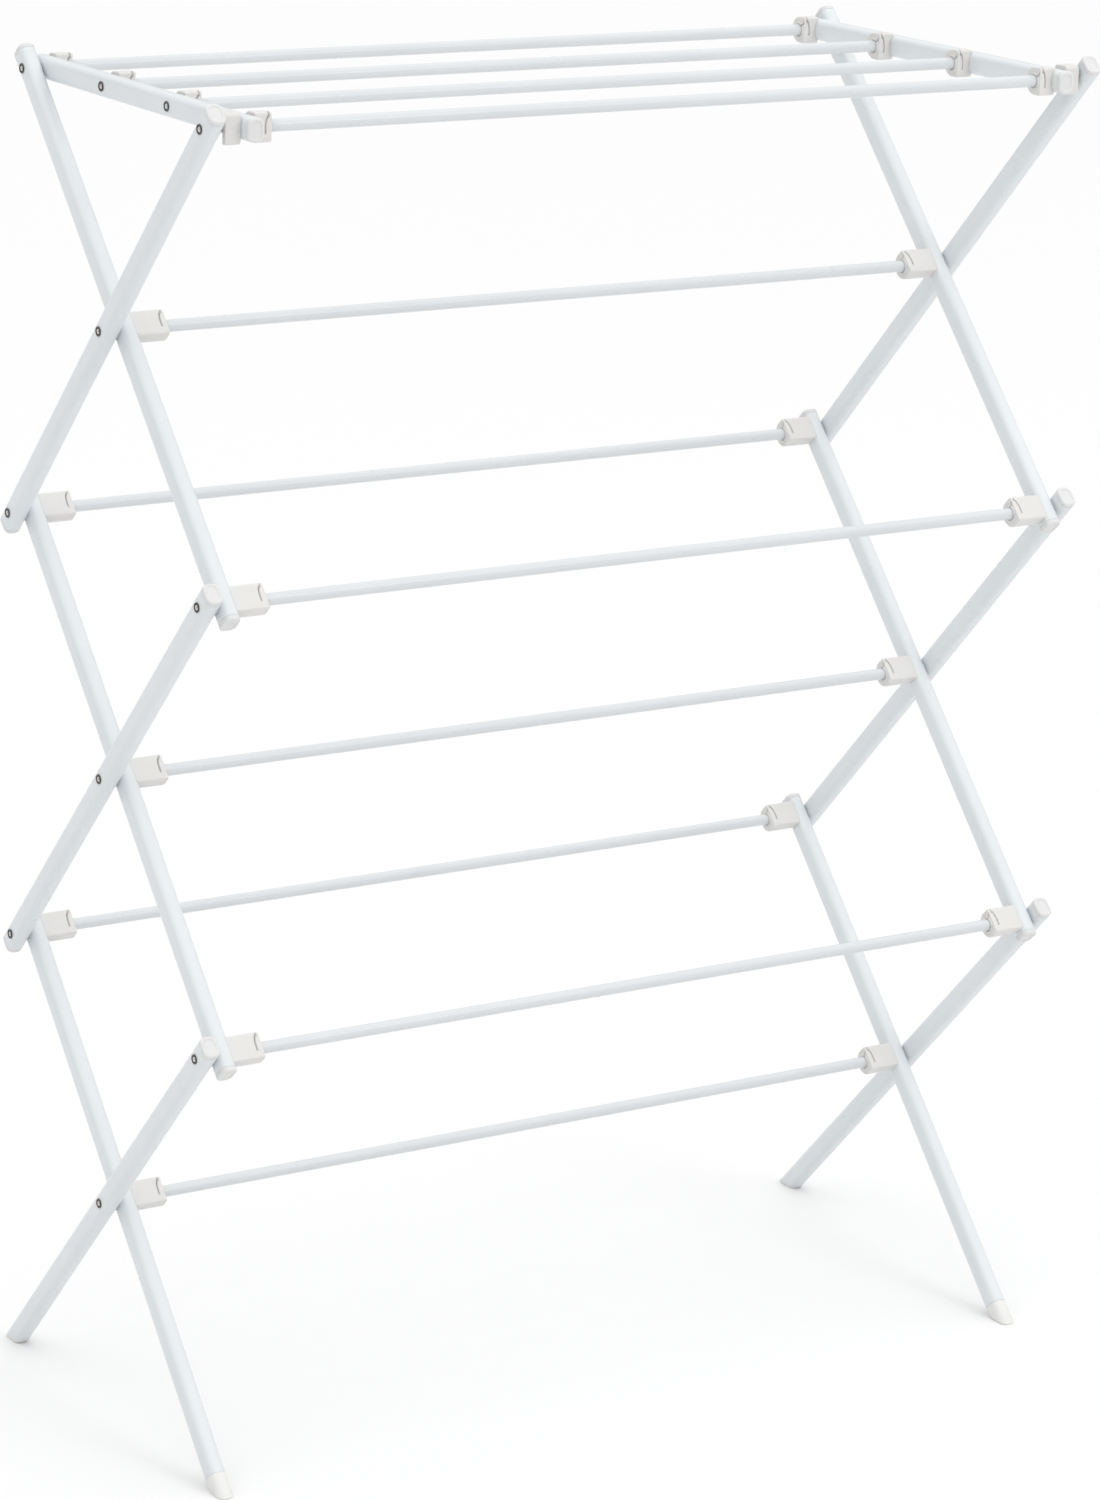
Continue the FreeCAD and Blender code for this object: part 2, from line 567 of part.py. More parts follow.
for label, crossing in (("upper_inner", "upper_cross"), ("middle_inner", "middle_cross")):
    caps = [bar_end(f"{label}_cap_{side}_{end + 2}", sign + INNER_X, crossing, LEANS_BACK, end)
            for side, sign in SIDES for end in (1, -1)]
    group(f"{label}_bar_caps", caps)
for side, sign in SIDES:
    for label, crossing in (("upper_outer", "upper_cross"), ("middle_outer", "middle_cross")):
        caps = [bar_end(f"{label}_cap_{side}_{end + 2}", sign + OUTER_X, crossing, LEANS_FORWARD, end)
                for end in (1, -1)]
        group(f"{label}_bar_caps_{side}", caps)
    back_leg_cap = bar_end(f"back_leg_top_{side}", sign + OUTER_X, "lower_cross", LEANS_FORWARD, 1)
    group(f"back_leg_cap_{side}", [back_leg_cap])
group("front_leg_caps", [bar_end(f"front_leg_top_{side}", sign + INNER_X, "lower_cross", LEANS_BACK, 1)
                         for side, sign in SIDES])
rail_caps = []
for side, sign in SIDES:
    front_y = f"{FRONT_Y} - sizes.shelf_front_overhang + sizes.cap_thick"
    back_y = f"{BACK_Y} + sizes.shelf_back_overhang - sizes.cap_thick"
    rail_caps.append(copy_at(bar_cap, f"rail_front_{side}", sign + RAIL_X, front_y, TOP_Z, FORWARD))
    rail_caps.append(copy_at(rail_back_cap, f"rail_back_{side}", sign + RAIL_X, back_y, TOP_Z, BACKWARD))
group("shelf_rail_caps", rail_caps)


def foot(name, lean, rim_only):
    """A plug for a leg's lower end, cut level with the floor, in the leg's own frame. The back legs' feet show
    only a rim under the level cut of their tubes; the front legs' feet go on up to a square seam."""
    body = new_body(name)
    seam = f"(-{LEG_AXIS} + {SECTION_DROP})" if rim_only else f"-{FRONT_SEAM}"
    block = new_sketch(body, "XY_Plane", "block", seam)
    tube_outline(block)
    extrude(body, "Pad", block, f"{PAST_FLOOR} + {seam}" if rim_only else f"{PAST_FLOOR} - {FRONT_SEAM}",
            f"2 * {SECTION_DROP}" if rim_only else None, backwards=True)
    if rim_only:
        reach = "(4 * sizes.tube_deep)"
        corner = (f"-{reach} / 2", f"-{HALF_LINK} - {reach}", "-sizes.lower_cross_height + sizes.foot_rim")
        cut_box(body, "rim_cut", corner, (reach, f"2 * {HALF_LINK} + 2 * {reach}", reach), f"-({lean})")
    plug = new_sketch(body, "XY_Plane", "plug", seam)
    tube_outline(plug, "sizes.tube_wall")
    extrude(body, "Pad", plug, "sizes.foot_insert", f"2 * {SECTION_DROP}")
    cut_below(body, lean, "0")
    return body


front_foot = foot("front_foot", LEANS_BACK, False)
front_feet = group("front_feet", [copy_at(front_foot, f"front_foot_{side}", sign + INNER_X, "0", "0")
                                  for side, sign in SIDES])
front_feet.setExpression("Placement", f"create(<<placement>>; {vector('0', *PIVOTS['lower_cross'])}; "
                                      f"{turned(LEANS_BACK)})")
for side, sign in SIDES:
    back_foot = foot(f"back_foot_{side}", LEANS_FORWARD, True)
    place(back_foot, sign + OUTER_X, *PIVOTS["lower_cross"], LEANS_FORWARD)
    node(back_foot)


# ---- latch hooks ---------------------------------------------------------------------------------

def hook(name):
    """A block on the rail's outer face, its notch open downwards and backwards over the pin at y = z = 0."""
    body = new_body(name)
    outline = new_sketch(body, "YZ_Plane", "outline")
    long = "(sizes.hook_front + sizes.hook_back)"
    rounded_rectangle(outline, "block", long, "2 * sizes.hook_half_height", "sizes.hook_corner")
    outline.setExpression("AttachmentOffset.Base.x", "(sizes.hook_back - sizes.hook_front) / 2")
    extrude(body, "Pad", outline, "sizes.hook_thick")
    notch = "(sizes.pin_diameter / 2 + sizes.hook_gap)"
    reach = "(4 * sizes.hook_half_height)"
    cut_box(body, "notch", ("-sizes.hook_thick", f"-{notch}", f"{notch} - {reach}"),
            ("3 * sizes.hook_thick", reach, reach))
    notch_size = value(notch)
    round_edges(body, "notch_corner", notch, lambda corner: abs(corner.y + notch_size) < 1e-6
                and abs(corner.z - notch_size) < 1e-6)
    cylinder(body, "Subtractive", "head_seat", "sizes.rivet_head + 4 * sizes.head_play",
             "-sizes.rivet_head_thick", "2 * sizes.rivet_head_thick + sizes.head_play")
    return body


latch_hook = set_out(hook("latch_hook"), RAIL_FACE_X)
latch_hooks = group("latch_hooks", [latch_hook, mirrored(latch_hook)])
place(latch_hooks, "0", *PIVOTS["top_front"])


# ---- checks and export ---------------------------------------------------------------------------

doc.recompute()
for item in doc.Objects:
    if {"Invalid", "Error"} & set(item.State):
        raise RuntimeError(f"{item.Name} did not build: {item.State}")
for piece in nodes:
    if piece.Shape.isNull() or not piece.Shape.isValid() or not piece.Shape.Solids:
        raise RuntimeError(f"{piece.Label} has no sound shape")

os.makedirs("parts", exist_ok=True)
for piece in nodes:
    piece.Shape.exportStep(os.path.join("parts", f"{piece.Label}.step"))
print(len(nodes), "nodes,", sum(len(piece.Shape.Solids) for piece in nodes), "solids")
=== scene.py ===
import math
from itertools import chain

import bpy
import numpy as np
from mathutils import Matrix, Vector


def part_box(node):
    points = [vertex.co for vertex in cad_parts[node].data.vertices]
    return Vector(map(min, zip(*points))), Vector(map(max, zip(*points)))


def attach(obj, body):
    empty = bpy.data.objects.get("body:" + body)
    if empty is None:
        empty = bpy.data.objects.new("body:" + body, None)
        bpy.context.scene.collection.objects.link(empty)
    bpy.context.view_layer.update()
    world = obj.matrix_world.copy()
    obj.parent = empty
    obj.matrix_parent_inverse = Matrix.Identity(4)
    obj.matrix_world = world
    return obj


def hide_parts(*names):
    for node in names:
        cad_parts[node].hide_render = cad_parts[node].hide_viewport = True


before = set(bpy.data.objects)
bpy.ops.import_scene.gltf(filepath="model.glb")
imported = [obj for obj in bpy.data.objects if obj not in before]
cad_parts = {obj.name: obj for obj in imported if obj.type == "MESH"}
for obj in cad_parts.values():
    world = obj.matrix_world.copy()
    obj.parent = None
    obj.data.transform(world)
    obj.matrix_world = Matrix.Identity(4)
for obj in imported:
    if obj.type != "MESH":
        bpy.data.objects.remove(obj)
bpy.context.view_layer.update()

# A folding clothes drying rack. Metres; X runs along the rods, -Y is the front, +Z is up.
MM = 0.001

# ---- sizes and places read from the frame ---------------------------------------------------------------------------


def middle(node):
    """Middle of a CAD node's box."""
    low, high = (np.array(corner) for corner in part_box(node))
    return (low + high) / 2


def extent(node):
    """Length of a CAD node's box along each axis."""
    low, high = (np.array(corner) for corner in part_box(node))
    return high - low


def least_x(node):
    """Distance from the middle of the rack to the nearest point of a node."""
    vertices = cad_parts[node].data.vertices
    places = np.empty(len(vertices) * 3)
    vertices.foreach_get("co", places)
    return float(np.abs(places[0::3]).min())


# Rows of pivots, as (y, z). A row is named after the rod that runs along it.
PIVOTS = {name: middle(f"{name}_rod")[1:] for name in
          ("lower_cross", "lower_back", "lower_front", "middle_cross", "upper_back", "upper_front", "upper_cross")}
PIVOTS["top_back"] = middle("shelf_rod_1")[1:]
PIVOTS["top_front"] = middle("latch_pin_right")[1:]
SHELF_ROWS = [middle(f"shelf_rod_{number}")[1:] for number in (1, 2, 3, 4)]

OUTER_X = middle("upper_outer_bar_right")[0]      # planes of the bars and rails
INNER_X = middle("upper_inner_bar_right")[0]
RAIL_X = middle("shelf_rail_right")[0]
TUBE_WIDE = extent("shelf_rail_right")[0]         # the tube's section, across its plane and in it
TUBE_DEEP = extent("shelf_rail_right")[2]
ROD_RADIUS = extent("shelf_rod_1")[2] / 2
ROD_END = extent("lower_back_rod")[0] / 2
SHELF_ROD_END = extent("shelf_rod_1")[0] / 2
NOSE_X = least_x("lower_back_clips")              # the clips' faces, towards the middle of the rack
HEAD_TOP_X = extent("middle_frame_rivets")[0] / 2
PIVOT_HEAD_TOP_X = extent("shelf_pivot_rivets")[0] / 2
RAIL_HEAD_TOP_X = extent("shelf_rail_rivets")[0] / 2
PIN_TIP_X = least_x("latch_pin_right")
PIN_HEAD_TOP_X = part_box("latch_pin_right")[1][0]
RAIL_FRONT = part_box("shelf_rail_right")[0][1]
RAIL_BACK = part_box("shelf_rail_right")[1][1]

half_depth, rise = PIVOTS["lower_back"] - PIVOTS["lower_cross"]
LEAN = math.atan2(half_depth, rise)               # a bar's angle from upright
HALF_LINK = math.hypot(half_depth, rise)          # from a bar's crossing to its end pivots
CROSS_HEIGHT = PIVOTS["lower_cross"][1]
LEG_AXIS = CROSS_HEIGHT / math.cos(LEAN)          # from the lowest crossing to the floor, along a leg

# ---- sizes of the fine detail ---------------------------------------------------------------------------------------
TUBE_CORNER = 5 * MM
TUBE_WALL = 0.8 * MM
TUBE_LIP = 0.35 * MM             # how far a tube's rolled end draws in
BAR_END = 13 * MM                # from a bar's end pivot to the end of its tube
DENT_DEPTH = 0.22 * MM           # the dish that a rivet presses into a tube
DENT_REACH = 6.5 * MM
DENT_SPREAD = 0.45 * DENT_REACH
LEVEL_BLEND = 60 * MM            # how far up a back leg the slope of its level cut fades out

CAP_THICK = 4 * MM
CAP_EDGE = 1.4 * MM
CAP_RIM = 2.3 * MM
CAP_RECESS = 0.5 * MM
CAP_PLUG = 6 * MM
SHORT_CAP_PLUG = 2 * MM

FOOT_SHORT_SIDE = 6 * MM         # from the seam to the floor, on the foot's shorter side
FOOT_RIM = 2 * MM
FOOT_EDGE = 1.3 * MM

CLIP_HALF = 10.5 * MM            # the clip's D: half its height, and from the rod to its flat front
CLIP_FRONT = 7.5 * MM
CLIP_CORNER = 1.8 * MM
CLIP_EDGE = 0.9 * MM
CLIP_HOLE_GAP = 0.1 * MM
SADDLE = 2.5 * MM                # how far a clip wraps round its bar's side
SEAT_GAP = 0.02 * MM
NOSE_SINK = 0.8 * MM             # the nose's face lies this far behind its raised ring
NOSE_RING = 6.2 * MM
NOSE_SLIT_DEPTH = 1.6 * MM
NOSE_SLIT_HALF = 0.5 * MM
NOSE_SLIT = (3 * MM, 9.5 * MM)
NOTCH_DEPTH = 0.9 * MM           # the hollow under the rod
NOTCH_RADIUS = 5.5 * MM
NOTCH_TOP = 3.2 * MM
SLIT_HALF = 0.55 * MM            # the bent slit in the clip's front and the short one above it
SLIT_DEPTH = 2.6 * MM
SLIT_FROM_NOSE = 5.7 * MM
SLIT_FOOT = -4.5 * MM
SLIT_TOP = 7.6 * MM
SLIT_BEND = 1.7 * MM
SHORT_SLIT_SHIFT = 2.4 * MM
SHORT_SLIT = (6.8 * MM, 12 * MM)
SHORT_SLIT_SAG = 0.8 * MM
FINE_STEP = 0.2 * MM

SHANK = 2.4 * MM
HEAD = 3.7 * MM
HEAD_THICK = 1.0 * MM
HEAD_ROLL = 0.5 * MM
HEAD_HOLLOW = ((2.8, 0.02), (2.5, 0.25), (2.35, 0.7), (2.3, 2.6), (0.0, 2.8))     # (radius, depth) in millimetres
PIN = 2.5 * MM
EYELET = 1.5 * MM
EYELET_ROLL = 0.6 * MM
EYELET_DEPTH = 0.9 * MM
WASHER = 5.5 * MM
WASHER_HOLE = 2.45 * MM
WASHER_EDGE = 0.12 * MM
WASHER_GAP = 0.1 * MM
ROD_EDGE = 0.3 * MM

HOOK_FRONT = 8 * MM
HOOK_BACK = 7 * MM
HOOK_HALF = 11 * MM
HOOK_THICK = 12 * MM
HOOK_CORNER = 3 * MM
HOOK_NOTCH = 3 * MM
HOOK_TIP = 1 * MM
HOOK_EDGE = 0.7 * MM

# ---- surfaces -------------------------------------------------------------------------------------------------------
# A surface is its vertices and a list of face arrays; an array's rows are faces with the same number of corners.


def ring_surface(rings, cyclic=False):
    """Surface through closed rings: rings[i, j] is point j of ring i. Its points go round anticlockwise about the way
    the rings advance, so faces point outwards. With cyclic the last ring joins the first; otherwise each end is closed
    by a fan to its ring's mean point."""
    count, around = rings.shape[:2]
    index = np.arange(count * around).reshape(count, around)
    turned = np.roll(index, -1, axis=1)
    if cyclic:
        after, after_turned = np.roll(index, -1, axis=0), np.roll(turned, -1, axis=0)
        return rings.reshape(-1, 3), [np.stack([index, turned, after_turned, after], axis=-1).reshape(-1, 4)]
    sides = np.stack([index[:-1], turned[:-1], turned[1:], index[1:]], axis=-1).reshape(-1, 4)
    first, last = count * around, count * around + 1
    start = np.stack([turned[0], index[0], np.full(around, first)], axis=-1)
    end = np.stack([index[-1], turned[-1], np.full(around, last)], axis=-1)
    vertices = np.concatenate([rings.reshape(-1, 3), rings[0].mean(0)[None], rings[-1].mean(0)[None]])
    return vertices, [sides, start, end]


def rings_along_x(x, outlines):
    """Rings across X from outlines in (y, z). Their x is one value for each ring, or one for each point."""
    return np.stack(np.broadcast_arrays(x, outlines[..., 0], outlines[..., 1]), axis=-1)


def rings_along_z(outlines, z):
    """Rings across Z from outlines in (x, y). Their z is one value for each ring, or one for each point."""
    return np.stack(np.broadcast_arrays(outlines[..., 0], outlines[..., 1], z), axis=-1)


def round_surface(profile, around=48, cyclic=False):
    """A profile of (radius, x) points turned about the X axis. It advances along +X at its outer radius. An end on the
    axis is closed by a fan, and a cyclic profile makes a closed ring."""
    radius, x = np.array(profile).T[..., None]
    angle = np.linspace(0, 2 * math.pi, around, endpoint=False)
    circles = np.stack([radius * np.cos(angle), radius * np.sin(angle)], axis=-1)
    return ring_surface(rings_along_x(x, circles), cyclic)


def mirrored(surface):
    """The surface on the other side of the rack: x changes sign and every face is read backwards."""
    vertices, faces = surface
    return vertices * (-1, 1, 1), [corners[:, ::-1] for corners in faces]


def moved(surface, y, z, x=0.0, turn=0.0):
    """The surface turned about X by an angle and then moved."""
    vertices, faces = surface
    across, up = vertices[:, 1], vertices[:, 2]
    cosine, sine = math.cos(turn), math.sin(turn)
    places = np.stack([vertices[:, 0] + x, across * cosine - up * sine + y, across * sine + up * cosine + z], axis=1)
    return places, faces


def pair(surface, row, turn=0.0):
    """A surface and its mirrored twin, on one row of pivots."""
    return [moved(surface, *row, turn=turn), moved(mirrored(surface), *row, turn=turn)]


def piece(name, surfaces, material, body, node):
    """One finished object made of surfaces, which rides on a body and stands for a CAD node."""
    starts = np.cumsum([0] + [len(vertices) for vertices, _ in surfaces])
    vertices = np.concatenate([vertices for vertices, _ in surfaces])
    faces = chain.from_iterable((corners + start).tolist()
                                for start, (_, blocks) in zip(starts, surfaces) for corners in blocks)
    mesh = bpy.data.meshes.new(name)
    mesh.from_pydata(vertices.tolist(), [], list(faces))
    mesh.polygons.foreach_set("use_smooth", np.ones(len(mesh.polygons), dtype=bool))
    mesh.materials.append(material)
    mesh.update()
    made = bpy.data.objects.new(name, mesh)
    bpy.context.scene.collection.objects.link(made)
    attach(made, body)
    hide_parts(node)


# ---- outlines -------------------------------------------------------------------------------------------------------
CORNER_POINTS = 10
WIDE_STEPS = 4
DEEP_STEPS = 10


def arc(centre, radius, start, end, count):
    """Points on an arc, angles in degrees, anticlockwise from the first axis."""
    angle = np.radians(np.linspace(start, end, count))
    return np.stack([centre[0] + radius * np.cos(angle), centre[1] + radius * np.sin(angle)], axis=1)


def joining(first, last, steps):
    """Points that divide the straight run from first to last into equal steps, without its ends."""
    share = np.linspace(0, 1, steps + 1)[1:-1, None]
    return first * (1 - share) + last * share


def section(half_wide, half_deep, corner):
    """Rounded rectangles in (x, y), one for each entry of the three arrays: four arcs of radius corner about the
    corners of a smaller rectangle, anticlockwise, joined by straight runs divided evenly."""
    half_wide, half_deep, corner = (size[:, None] for size in np.broadcast_arrays(half_wide, half_deep, corner))
    quarter = np.linspace(0, math.pi / 2, CORNER_POINTS)
    arcs = [np.stack([sx * (half_wide - corner) + corner * np.cos(quarter + turn),
                      sy * (half_deep - corner) + corner * np.sin(quarter + turn)], axis=-1)
            for sx, sy, turn in ((1, 1, 0), (-1, 1, math.pi / 2), (-1, -1, math.pi), (1, -1, 1.5 * math.pi))]
    runs = [joining(near[:, -1:], far[:, :1], steps)
            for near, far, steps in zip(arcs, arcs[1:] + arcs[:1], (WIDE_STEPS, DEEP_STEPS) * 2)]
    return np.concatenate(list(chain.from_iterable(zip(arcs, runs))), axis=1)


def tube_section(inset):
    """The tube's section, smaller by each inset on every side."""
    return section(TUBE_WIDE / 2 - inset, TUBE_DEEP / 2 - inset, TUBE_CORNER - inset)


def floor_line(y, turn):
    """How far along a leg, turned by turn about X, the floor lies under a point y across it."""
    return -CROSS_HEIGHT / math.cos(turn) - y * math.tan(turn)


# ---- tubes, caps and feet -------------------------------------------------------------------------------------------


def tube_surface(lower, upper, dents, level_cut=None):
    """A tube along +Z from lower to upper: the section carried along, with a small rounded lip at each end, then back
    along the inside wall. Each dent is a shallow dish, a Gaussian of the distance from a rivet, pressed into both wide
    faces. With level_cut = (turn, height) the lower end is level with the floor at that height instead of square."""
    lip_inset = np.array([1.0, 0.3, 0.0]) * TUBE_LIP
    lip_rise = np.array([0.0, 0.1, 1.0]) * TUBE_LIP
    plain_run = np.linspace(lower + 6 * MM, upper - 6 * MM, 24)
    dented_runs = [at + np.linspace(-1.5, 1.5, 25) * DENT_REACH for at in dents]
    run = np.unique(np.concatenate([plain_run, *dented_runs]))
    run = run[(run > lower + 2 * MM) & (run < upper - 2 * MM)]
    inner_wall = [upper, upper - CAP_PLUG, lower + CAP_PLUG, lower]
    along = np.concatenate([lower + lip_rise, run, (upper - lip_rise)[::-1], inner_wall])
    inset = np.concatenate([lip_inset, np.zeros(len(run)), lip_inset[::-1], np.full(len(inner_wall), TUBE_WALL)])
    rings = rings_along_z(tube_section(inset), along[:, None])
    x, y, z = rings[..., 0], rings[..., 1], rings[..., 2]
    on_wide_face = np.abs(x) > TUBE_WIDE / 2 - 0.5 * MM
    for at in dents:
        away = np.hypot(y, z - at)
        x -= np.sign(x) * DENT_DEPTH * np.exp(-(away / DENT_SPREAD) ** 2) * on_wide_face
    if level_cut:
        turn, height = level_cut
        cut = floor_line(y, turn) + height / math.cos(turn)
        z += np.clip(1 - (z - lower) / LEVEL_BLEND, 0, 1) * (cut - lower)
    return ring_surface(rings, cyclic=True)


def cap_surface(plug):
    """An end cap on z = 0 with +Z outwards: the tube's section grows out of the plug, goes straight up, rolls over a
    quarter circle, crosses the rim and drops into an oval dish with full-round ends. Each ring of the table is the
    section's inset, its height and its corner's radius."""
    side = [(TUBE_WALL, -plug), (TUBE_WALL, -0.02 * MM), (TUBE_LIP, 0.0), (0.3 * TUBE_LIP, 0.1 * MM), (0.0, 0.35 * MM),
            (0.0, 1.5 * MM), *arc((CAP_EDGE, CAP_THICK - CAP_EDGE), CAP_EDGE, 180, 90, 8)]
    rim_end = CAP_RIM - 0.15 * MM
    dish = TUBE_WIDE / 2 - CAP_RIM - 0.25 * MM
    table = [(inset, height, TUBE_CORNER - inset) for inset, height in side] + [
        ((CAP_EDGE + rim_end) / 2, CAP_THICK, TUBE_CORNER - CAP_EDGE),
        (rim_end, CAP_THICK, TUBE_CORNER - CAP_EDGE),
        (CAP_RIM, CAP_THICK - 0.12 * MM, dish),
        (CAP_RIM + 0.15 * MM, CAP_THICK - 0.8 * CAP_RECESS, dish),
        (CAP_RIM + 0.4 * MM, CAP_THICK - CAP_RECESS, dish - 0.2 * MM),
        (CAP_RIM + 1.2 * MM, CAP_THICK - CAP_RECESS, dish - 1.0 * MM)]
    inset, height, corner = np.array(table).T
    return ring_surface(rings_along_z(section(TUBE_WIDE / 2 - inset, TUBE_DEEP / 2 - inset, corner), height[:, None]))


def foot_surface(turn, seam):
    """A leg's plastic foot in the leg's own frame: the tube's section from the seam down to a level sole with a rounded
    edge. A ring's height goes, by its share, from a drop below the seam to a height over the floor's line, which slopes
    in this frame. Each ring of the table is its inset, drop, share and height."""
    edge = arc((FOOT_EDGE, FOOT_EDGE), FOOT_EDGE, 180, 270, 7)
    table = [(FOOT_EDGE, -0.3 * MM, 0.0, 0.0), (TUBE_LIP, 0.0, 0.0, 0.0), (0.35 * TUBE_LIP, 0.2 * MM, 0.0, 0.0),
             (0.0, 0.5 * MM, 0.0, 0.0), (0.0, 0.5 * MM, 0.35, FOOT_EDGE), (0.0, 0.5 * MM, 0.7, FOOT_EDGE),
             *[(inset, 0.0, 1.0, height) for inset, height in edge], (2.2 * FOOT_EDGE, 0.0, 1.0, 0.0)]
    inset, drop, share, height = np.array(table).T[..., None]
    outlines = tube_section(inset[:, 0])
    sole = floor_line(outlines[..., 1], turn) + height / math.cos(turn)
    return ring_surface(rings_along_z(outlines, (1 - share) * (seam - drop) + share * sole)[::-1])


def rim_surface(turn):
    """The thin rim under a back leg: level top at the tube's cut, level sole on the floor, rounded between. Each ring
    of the table is its inset and its height over the floor."""
    table = [(TUBE_WALL, CAP_PLUG), (TUBE_WALL, FOOT_RIM), (TUBE_LIP, FOOT_RIM - 0.05 * MM), (0.0, FOOT_RIM - 0.4 * MM),
             (0.0, 1.1 * MM), (0.12 * MM, 0.55 * MM), (0.4 * MM, 0.16 * MM), (0.9 * MM, 0.0), (2.4 * MM, 0.0)]
    inset, height = np.array(table).T
    outlines = tube_section(inset)
    return ring_surface(rings_along_z(outlines, floor_line(outlines[..., 1], turn)
                                      + height[:, None] / math.cos(turn))[::-1])


# ---- clips ----------------------------------------------------------------------------------------------------------


def clip_outline(inset=0.0):
    """The clip's D in (y, z), anticlockwise: half a circle behind, a flat front with rounded corners."""
    corner = CLIP_CORNER - inset
    half, front = CLIP_HALF - inset, CLIP_FRONT - inset
    back = arc((0, 0), half, -90, 90, 44)
    upper = arc((corner - front, half - corner), corner, 90, 180, 8)
    lower = arc((corner - front, corner - half), corner, 180, 270, 8)
    return np.concatenate([back, joining(back[-1], upper[0], 11), upper, joining(upper[-1], lower[0], 55), lower,
                           joining(lower[-1], back[0], 11)])


def step(value, edge, soft):
    """0 below the edge and 1 above it, with a smooth change over soft."""
    share = np.clip((value - edge) / soft + 0.5, 0, 1)
    return share * share * (3 - 2 * share)


def slot_mask(across, along, half_width, start, end):
    """1 inside a narrow slot, 0 outside, with soft edges."""
    soft = 0.3 * MM
    return (1 - step(np.abs(across), half_width, soft)) * step(along, start, soft) * (1 - step(along, end, soft))


def nose_rings(hole):
    """The nose's face, blended from the rod's hole out to the D. Points near the rod stand on a raised ring; a slit
    slants across the upper half and a hollow lies under the rod."""
    share = np.append(0.03, np.linspace(0.08, 1, 22))[:, None, None]
    spots = hole * (1 - share) + clip_outline(CLIP_EDGE) * share
    y, z = spots[..., 0], spots[..., 1]
    radius = np.hypot(y, z)
    sink = NOSE_SINK * step(radius, NOSE_RING, 0.5 * MM)
    sink += NOSE_SLIT_DEPTH * slot_mask((z + y) / math.sqrt(2), (z - y) / math.sqrt(2), NOSE_SLIT_HALF, *NOSE_SLIT)
    sink += NOTCH_DEPTH * (1 - step(radius, NOTCH_RADIUS, 0.4 * MM)) * step(-z, NOTCH_TOP, 1.2 * MM)
    return rings_along_x(NOSE_X + sink, spots)


def side_rings(outline, seat):
    """The D carried along x from the nose's edge to the seat. The slits are pressed into its flat front: a bent one,
    which leans towards the nose as the square of its height, and a short one above it."""
    slit_x = NOSE_X + SLIT_FROM_NOSE
    fine = np.arange(NOSE_X + NOSE_SINK + CLIP_EDGE, slit_x + 2 * MM, FINE_STEP)[1:]
    coarse = np.linspace(slit_x + 2 * MM, seat - 0.4 * MM, 12)[1:]
    x = np.concatenate([fine, coarse])[:, None]
    y, z = outline.T
    bend = SLIT_BEND * np.clip(z / SLIT_TOP, 0, 1) ** 2
    bent = slot_mask(x - slit_x + bend, z, SLIT_HALF, SLIT_FOOT, SLIT_TOP)
    short = slot_mask(x - slit_x + SHORT_SLIT_SHIFT, z, SLIT_HALF, *SHORT_SLIT)
    press = (bent + short) * (y < 0.3 * MM - CLIP_FRONT + CLIP_CORNER)
    return rings_along_x(x, np.stack([y + SLIT_DEPTH * press, z - SHORT_SLIT_SAG * short * press], axis=-1))


def clip_surface(plane_x, across):
    """A right-hand clip on a bar whose middle is at x = plane_x; across is 0 if the bar runs along z and 1 if along y.
    Its rings come up the rod's hole, cross the nose, round its edge, run along the D and close on the bar. The last
    ones follow the bar's rounded side, so the clip hugs it."""
    outline = clip_outline()
    angle = np.arctan2(outline[:, 1], outline[:, 0])
    hole = np.stack([np.cos(angle), np.sin(angle)], axis=1) * (ROD_RADIUS + CLIP_HOLE_GAP)
    hole_x = NOSE_X + np.array([6.0, 1.0, 0.25])[:, None] * MM
    edge_inset, edge_rise = arc((CLIP_EDGE, CLIP_EDGE), CLIP_EDGE, 270, 180, 7)[1:].T
    edge = np.stack([clip_outline(inset) for inset in edge_inset])
    seat = plane_x - TUBE_WIDE / 2

    def hug(outlines):
        """How far the bar's rounded side lies beyond its flat face, at each point of the outlines."""
        from_core = np.clip(np.abs(outlines[..., across]) - (TUBE_DEEP / 2 - TUBE_CORNER), 0, TUBE_CORNER)
        return np.minimum(TUBE_CORNER - np.sqrt(TUBE_CORNER ** 2 - from_core ** 2), SADDLE)

    collar = np.stack([clip_outline(inset) for inset in (0.0, 0.0, 0.1 * MM, 0.35 * MM)])
    collar_share = np.array([0.0, 0.75, 0.95, 1.0])[:, None]
    inner = outline * np.linspace(0.94, 0.2, 16)[:, None, None]
    return ring_surface(np.concatenate([
        rings_along_x(hole_x, hole),
        nose_rings(hole),
        rings_along_x(NOSE_X + NOSE_SINK + edge_rise[:, None], edge),
        side_rings(outline, seat),
        rings_along_x(seat + collar_share * hug(outline) - SEAT_GAP, collar),
        rings_along_x(seat + hug(inner) - SEAT_GAP, inner),
    ]))


# ---- rivets, pins, washers, rods and hooks --------------------------------------------------------------------------


def head_surface(top_x, shank_radius, tip_x):
    """A rivet or pin: along the shank from its tip, out under the head, over its rolled edge and down into the hollow,
    turned about the X axis."""
    under = top_x - HEAD_THICK
    roll = arc((HEAD - HEAD_ROLL, under + HEAD_ROLL), HEAD_ROLL, -60, 90, 8)
    return round_surface([(0.0, tip_x), (shank_radius - 0.3 * MM, tip_x), (shank_radius, tip_x + 0.3 * MM),
                          (shank_radius, under - 0.05 * MM), (HEAD - HEAD_ROLL, under), *roll,
                          *[(radius * MM, top_x - depth * MM) for radius, depth in HEAD_HOLLOW]])


